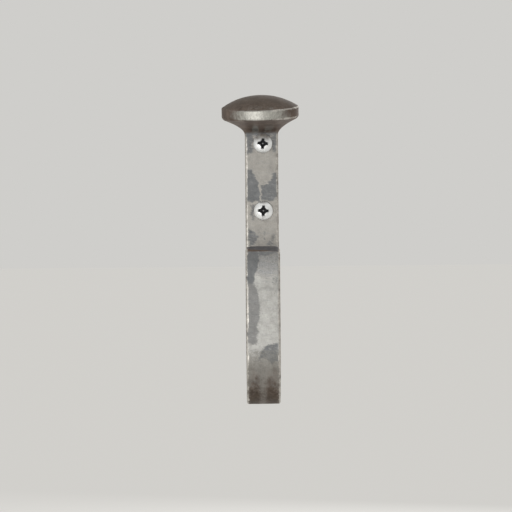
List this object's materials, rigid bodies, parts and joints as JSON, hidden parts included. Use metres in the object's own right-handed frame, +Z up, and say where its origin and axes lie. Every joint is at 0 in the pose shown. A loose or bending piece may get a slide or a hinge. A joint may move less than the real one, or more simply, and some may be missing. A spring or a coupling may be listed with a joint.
{
  "type": "wall hook",
  "caption": "Forged steel wall hook with a round domed head, a flat shank screwed to the wall and an upturned arm in front.",
  "frame": {"origin": "on the back face of the shank, on its centreline, midway in height between the two screw holes", "axes": "+Y into the wall, +Z up along the shank towards the head, +X across the bar, to the right as seen from in front"},
  "size_m": [0.0369, 0.0818, 0.1466],
  "materials": {
    "forged_steel": "hand-forged, brown-black scale with file-brightened flats and edges",
    "zinc_plated_steel": "bright zinc plate, semi-gloss"
  },
  "bodies": {
    "hook": {"forged_hook": "forged_steel"},
    "upper_screw": {"upper_screw": "zinc_plated_steel"},
    "lower_screw": {"lower_screw": "zinc_plated_steel"}
  },
  "joints": [
    {"name": "upper_screw_withdrawal", "type": "slide", "parent": "hook", "child": "upper_screw", "axis": [0, -1, 0], "range_m": [0, 0.042]},
    {"name": "lower_screw_withdrawal", "type": "slide", "parent": "hook", "child": "lower_screw", "axis": [0, -1, 0], "range_m": [0, 0.042]}
  ]
}
